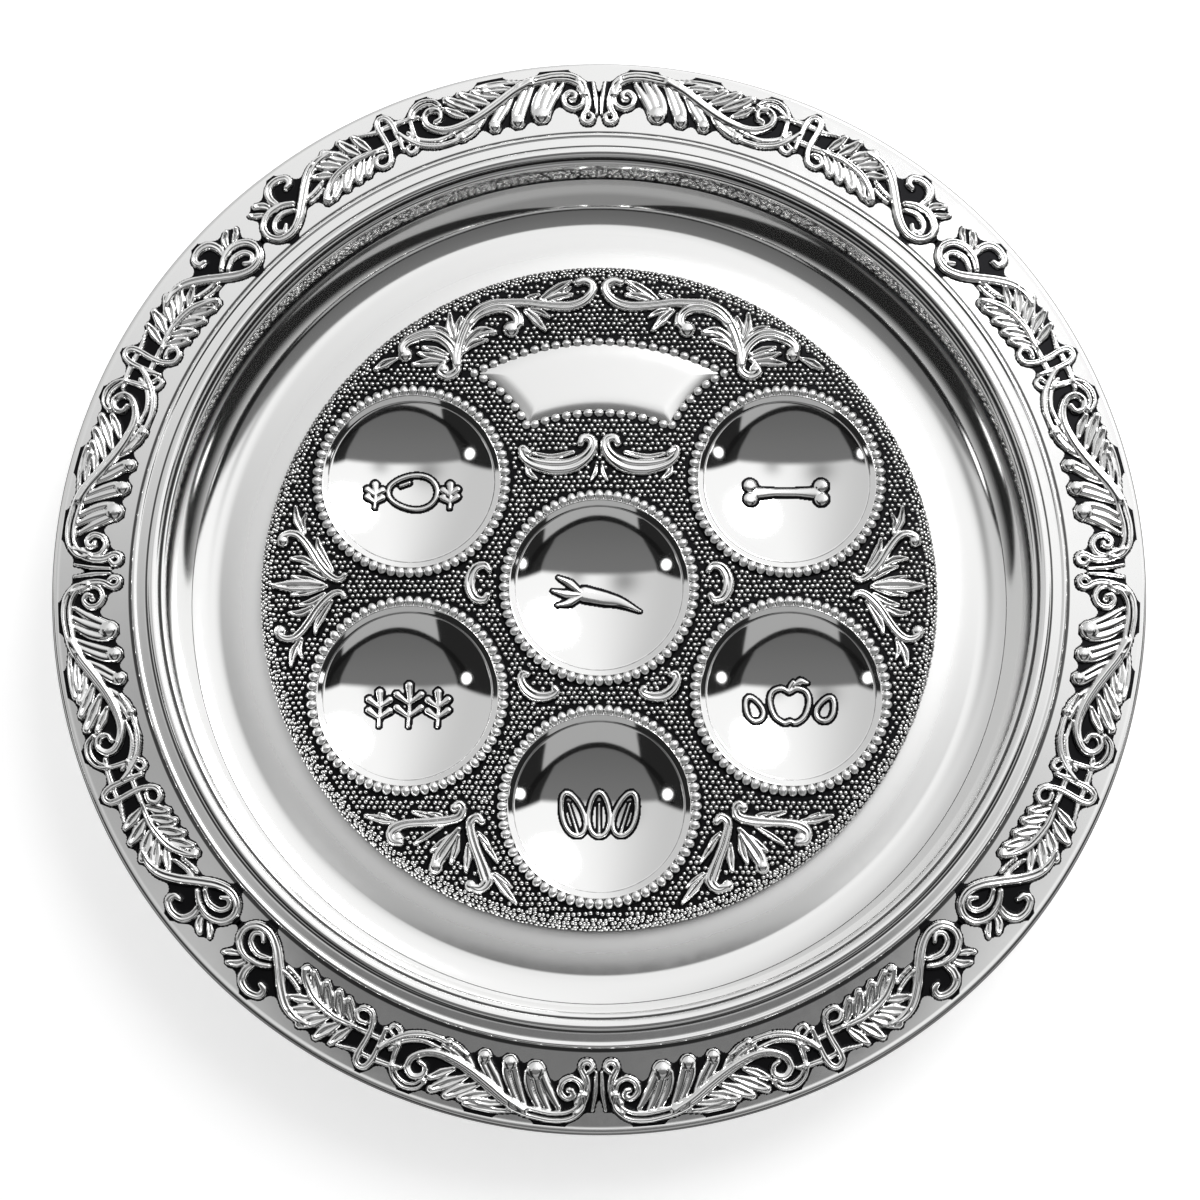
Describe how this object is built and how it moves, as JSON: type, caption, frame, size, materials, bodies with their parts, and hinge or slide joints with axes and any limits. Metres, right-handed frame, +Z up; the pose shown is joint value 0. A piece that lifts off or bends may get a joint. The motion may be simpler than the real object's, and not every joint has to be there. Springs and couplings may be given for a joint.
{
  "type": "seder plate",
  "caption": "Round silver-toned seder plate: a rimmed tray with scrolled border mounts and a raised medallion that carries shallow beaded cups and a blank plaque.",
  "frame": {"origin": "on the table, under the middle of the tray's flat floor", "axes": "+Z up out of the tray, +Y from the bottom cup towards the plaque, +X to the reader's right"},
  "size_m": [0.4, 0.4, 0.04],
  "materials": {
    "polished_silver": "polished",
    "relief_silver": "polished high points over a darkened ground",
    "stippled_silver": "darkened and stippled",
    "steel_wire": "drawn"
  },
  "bodies": {
    "root": {"tray": "polished_silver", "edge_wire": "steel_wire", "well_moulding": "polished_silver", "border_mount_north": "relief_silver", "border_mount_west": "relief_silver", "border_mount_south": "relief_silver", "border_mount_east": "relief_silver", "medallion": "stippled_silver", "cup_center": "polished_silver", "cup_upper_right": "polished_silver", "cup_upper_left": "polished_silver", "cup_lower_left": "polished_silver", "cup_bottom": "polished_silver", "cup_lower_right": "polished_silver", "bead_ring_center": "relief_silver", "bead_ring_upper_right": "relief_silver", "bead_ring_upper_left": "relief_silver", "bead_ring_lower_left": "relief_silver", "bead_ring_bottom": "relief_silver", "bead_ring_lower_right": "relief_silver", "plaque": "polished_silver", "plaque_frame": "relief_silver", "garland_left": "relief_silver", "garland_right": "relief_silver", "side_spray_left": "relief_silver", "side_spray_right": "relief_silver", "lower_spray_left": "relief_silver", "lower_spray_right": "relief_silver", "cradle_scroll_left": "relief_silver", "cradle_scroll_right": "relief_silver", "middle_curl_left": "relief_silver", "middle_curl_right": "relief_silver", "lower_curl_left": "relief_silver", "lower_curl_right": "relief_silver"}
  },
  "joints": []
}
